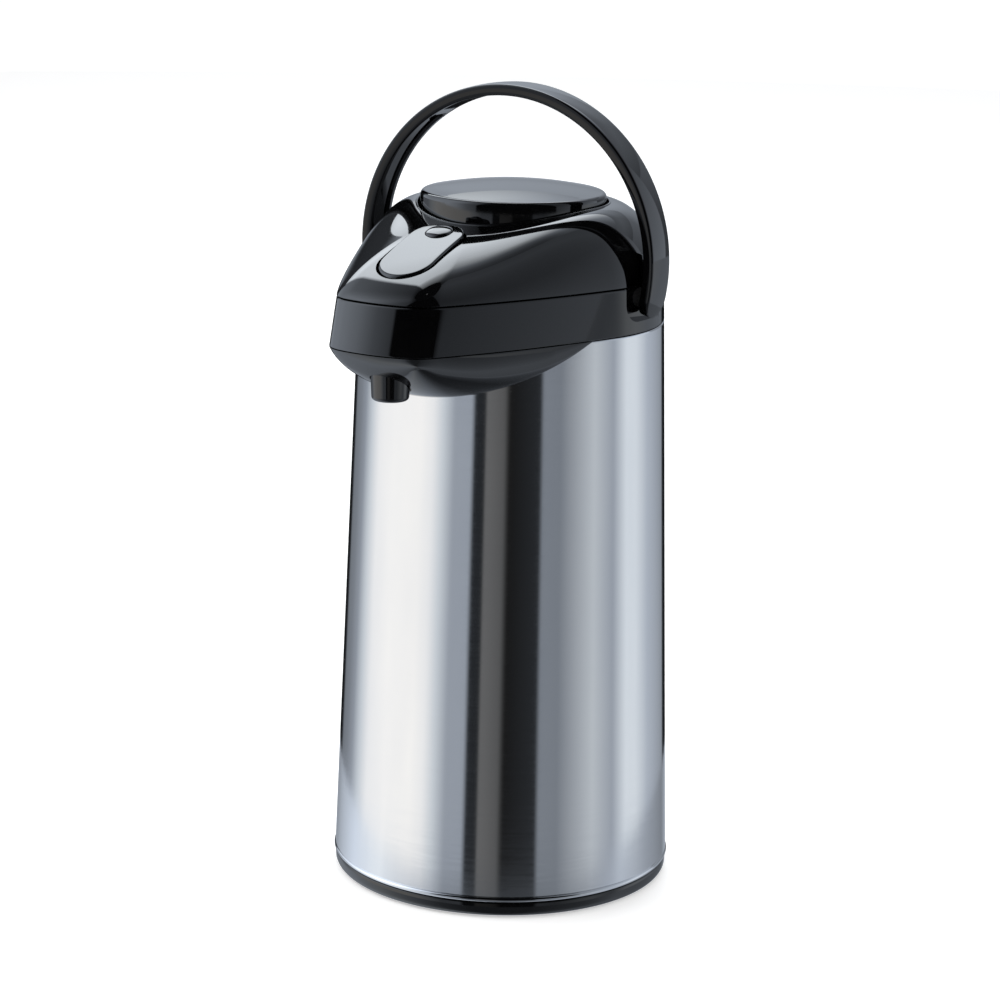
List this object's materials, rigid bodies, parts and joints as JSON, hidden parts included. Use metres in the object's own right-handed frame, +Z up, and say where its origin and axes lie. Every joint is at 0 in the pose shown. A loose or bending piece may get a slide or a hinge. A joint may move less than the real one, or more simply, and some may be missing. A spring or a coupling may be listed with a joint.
{
  "type": "thermal coffee airpot",
  "caption": "Pump-action vacuum coffee airpot: tapered steel body, black beaked head with a hinged lid, press-down pump, front latch, underside spout and swinging hoop handle.",
  "frame": {"origin": "middle of the foot pad's underside, on the table", "axes": "+Z up along the body's axis; the beak and spout point along -Y, the lid hinge is at +Y, and the handle pivots lie along X"},
  "size_m": [0.1708, 0.2159, 0.3998],
  "materials": {
    "steel": "satin stainless steel, drawn and tapered",
    "black_gloss": "polished moulded plastic",
    "black_plastic": "plain moulded plastic",
    "black_rubber": "moulded silicone rubber",
    "silvered_glass": "silvered vacuum glass",
    "clear_tube": "milky food-grade tube",
    "spring_steel": "bright drawn wire"
  },
  "bodies": {
    "pot": {"outer_shell": "steel", "base_cap": "black_gloss", "base_pad": "black_rubber", "flask_cushion": "black_rubber", "flask_outer_wall": "silvered_glass", "flask_inner_wall": "silvered_glass", "neck_gasket": "black_rubber", "collar": "black_gloss", "beak_under_cover": "black_gloss", "spout_nozzle": "black_gloss", "delivery_tube": "clear_tube", "stem_plug": "black_plastic", "stem_elbow": "black_plastic", "stem_gasket": "black_rubber", "dip_tube": "clear_tube", "lid_hinge_pin": "spring_steel", "handle_pivot_left": "black_plastic", "handle_pivot_right": "black_plastic", "latch_catch": "black_plastic"},
    "lid": {"lid_cover": "black_gloss", "bellows_housing": "black_plastic", "bellows": "black_rubber", "pump_spring": "spring_steel", "lid_seal": "black_rubber", "latch_pivot_pin": "spring_steel", "latch_spring": "spring_steel"},
    "pump": {"pump_button": "black_gloss"},
    "latch": {"latch_lever": "black_gloss"},
    "button": {"latch_button": "black_gloss"},
    "handle": {"handle": "black_gloss"}
  },
  "joints": [
    {"name": "lid_hinge", "type": "hinge", "parent": "pot", "child": "lid", "pos_m": [0, 0.072, 0.308], "axis": [-1, 0, 0], "range_deg": [0, 18]},
    {"name": "pump_press", "type": "slide", "parent": "lid", "child": "pump", "axis": [0, 0, -1], "range_m": [0, 0.02], "stiffness_N_per_m": 600, "springref_m": -0.006, "deforming": ["bellows", "pump_spring"]},
    {"name": "latch_rock", "type": "hinge", "parent": "lid", "child": "latch", "pos_m": [0, -0.082, 0.32386], "axis": [-1, 0, 0], "range_deg": [0, 4.5], "stiffness_Nm_per_rad": 0.2, "springref_deg": -5.73},
    {"name": "button_press", "type": "slide", "parent": "latch", "child": "button", "axis": [0, 0.2966, -0.955], "range_m": [0, 0.0012], "stiffness_N_per_m": 400, "springref_m": -0.001},
    {"name": "handle_swing", "type": "hinge", "parent": "pot", "child": "handle", "pos_m": [0, 0, 0.3015], "axis": [-1, 0, 0], "range_deg": [-60, 90]}
  ]
}
